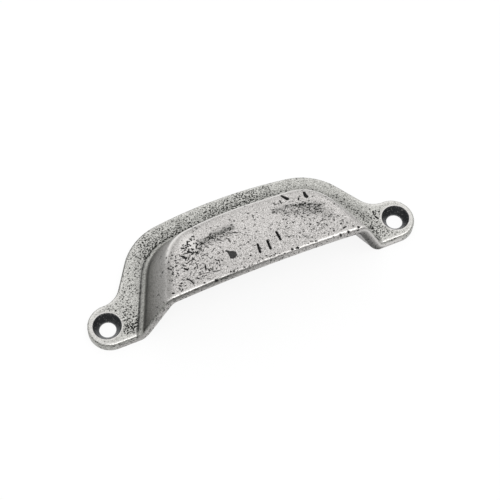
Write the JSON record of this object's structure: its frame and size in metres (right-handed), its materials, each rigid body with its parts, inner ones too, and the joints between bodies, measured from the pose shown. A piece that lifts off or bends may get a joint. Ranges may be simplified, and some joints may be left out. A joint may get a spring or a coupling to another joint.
{
  "type": "cup pull",
  "caption": "Cast-iron cup pull for a drawer: a hooded finger cup on an arched flange, with a countersunk screw ear at each end",
  "frame": {"origin": "midway between the two screw holes, on the back face that lies on the drawer front", "axes": "+X along the pull through both screw holes, +Y up the drawer front towards the arch, +Z out from the drawer front"},
  "size_m": [0.101, 0.0326, 0.0196],
  "materials": {
    "antique_iron": "antique pewter: worn bright highs over dark pits and recesses"
  },
  "bodies": {
    "root": {"cup_pull": "antique_iron"}
  },
  "joints": []
}
